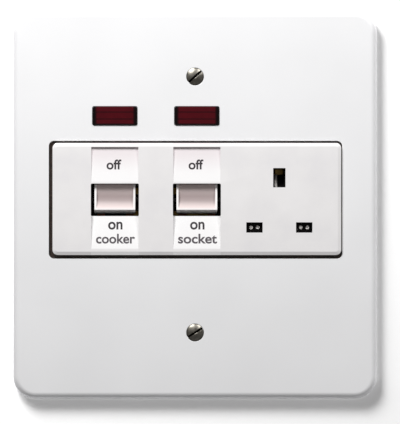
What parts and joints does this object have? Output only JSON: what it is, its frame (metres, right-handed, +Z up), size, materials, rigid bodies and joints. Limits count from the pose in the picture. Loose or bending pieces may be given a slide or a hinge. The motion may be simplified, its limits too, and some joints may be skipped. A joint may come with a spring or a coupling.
{
  "type": "cooker control unit",
  "caption": "Flush cooker control unit: pressed white plate with a moulded insert of dished rocker switches, a shuttered three-pin socket and red neon lenses above.",
  "frame": {"origin": "middle of the two box screws, in the wall plane at the back of the plate's rim", "axes": "+X to the right as seen from the front, +Y into the wall, +Z up; the front faces -Y"},
  "size_m": [0.1624, 0.0321, 0.1736],
  "materials": {
    "enamel": "gloss white stoved enamel",
    "cover_moulding": "moulded white",
    "rocker_moulding": "moulded white",
    "base_moulding": "dark brown moulding",
    "plunger_moulding": "natural moulding",
    "shutter_moulding": "black moulding",
    "carrier_moulding": "natural white moulding",
    "spring_steel": "spring wire",
    "plated_steel": "zinc plated",
    "nickel": "bright nickel plate",
    "copper": "copper strip",
    "brass": "brass",
    "tinned_copper": "tinned",
    "red_lens": "dark red ribbed lens",
    "lamp_glass": "clear lamp tube",
    "resistor_body": "lacquered body",
    "lead_sleeve": "sleeved lead"
  },
  "bodies": {
    "unit": {"base_moulding": "base_moulding", "base_screws": "plated_steel", "box_screws": "nickel", "cooker_lens": "red_lens", "cooker_line_contact": "copper", "cooker_neutral_contact": "copper", "earth_clip": "brass", "earth_housing": "base_moulding", "earth_strap": "tinned_copper", "earth_terminal": "brass", "front_plate": "enamel", "line_bar": "brass", "load_housing": "base_moulding", "load_line_terminal": "brass", "load_neutral_terminal": "brass", "module_cover": "cover_moulding", "neon_carrier": "carrier_moulding", "neon_lamps": "lamp_glass", "neon_leads": "lead_sleeve", "neon_resistors": "resistor_body", "neutral_bar": "brass", "plate_nuts": "plated_steel", "plate_washers": "plated_steel", "shutter_spring": "spring_steel", "socket_lens": "red_lens", "socket_line_clip": "brass", "socket_neutral_clip": "brass", "supply_housing": "base_moulding", "supply_line_terminal": "brass", "supply_neutral_terminal": "brass", "terminal_screws": "plated_steel"},
    "cooker_switch": {"cooker_rocker": "rocker_moulding", "cooker_plungers": "plunger_moulding", "cooker_plunger_springs": "spring_steel"},
    "cooker_see_saws": {"cooker_moving_contacts": "copper"},
    "socket_switch": {"socket_rocker": "rocker_moulding", "socket_plungers": "plunger_moulding", "socket_plunger_springs": "spring_steel"},
    "socket_see_saws": {"socket_moving_contacts": "copper"},
    "shutter_slider": {"shutter": "shutter_moulding", "shutter_rivets": "nickel"}
  },
  "joints": [
    {"name": "cooker_rocker_turn", "type": "hinge", "parent": "unit", "child": "cooker_switch", "pos_m": [-0.0358, 0, 0.00215], "axis": [1, 0, 0], "range_deg": [0, 24]},
    {"name": "cooker_see_saw_rock", "type": "hinge", "parent": "unit", "child": "cooker_see_saws", "pos_m": [-0.0358, 0.01095, 0.00215], "axis": [1, 0, 0], "range_deg": [-14, 0]},
    {"name": "socket_rocker_turn", "type": "hinge", "parent": "unit", "child": "socket_switch", "pos_m": [0.0008, 0, 0.00215], "axis": [1, 0, 0], "range_deg": [0, 24]},
    {"name": "socket_see_saw_rock", "type": "hinge", "parent": "unit", "child": "socket_see_saws", "pos_m": [0.0008, 0.01095, 0.00215], "axis": [1, 0, 0], "range_deg": [-14, 0]},
    {"name": "shutter_slide", "type": "slide", "parent": "unit", "child": "shutter_slider", "axis": [0, 0, -1], "range_m": [0, 0.0055], "stiffness_N_per_m": 100, "springref_m": -0.004, "deforming": ["shutter_spring"]}
  ],
  "couplings": [
    {"joint": "cooker_see_saw_rock", "follows": "cooker_rocker_turn", "ratio": -0.5833},
    {"joint": "socket_see_saw_rock", "follows": "socket_rocker_turn", "ratio": -0.5833}
  ]
}
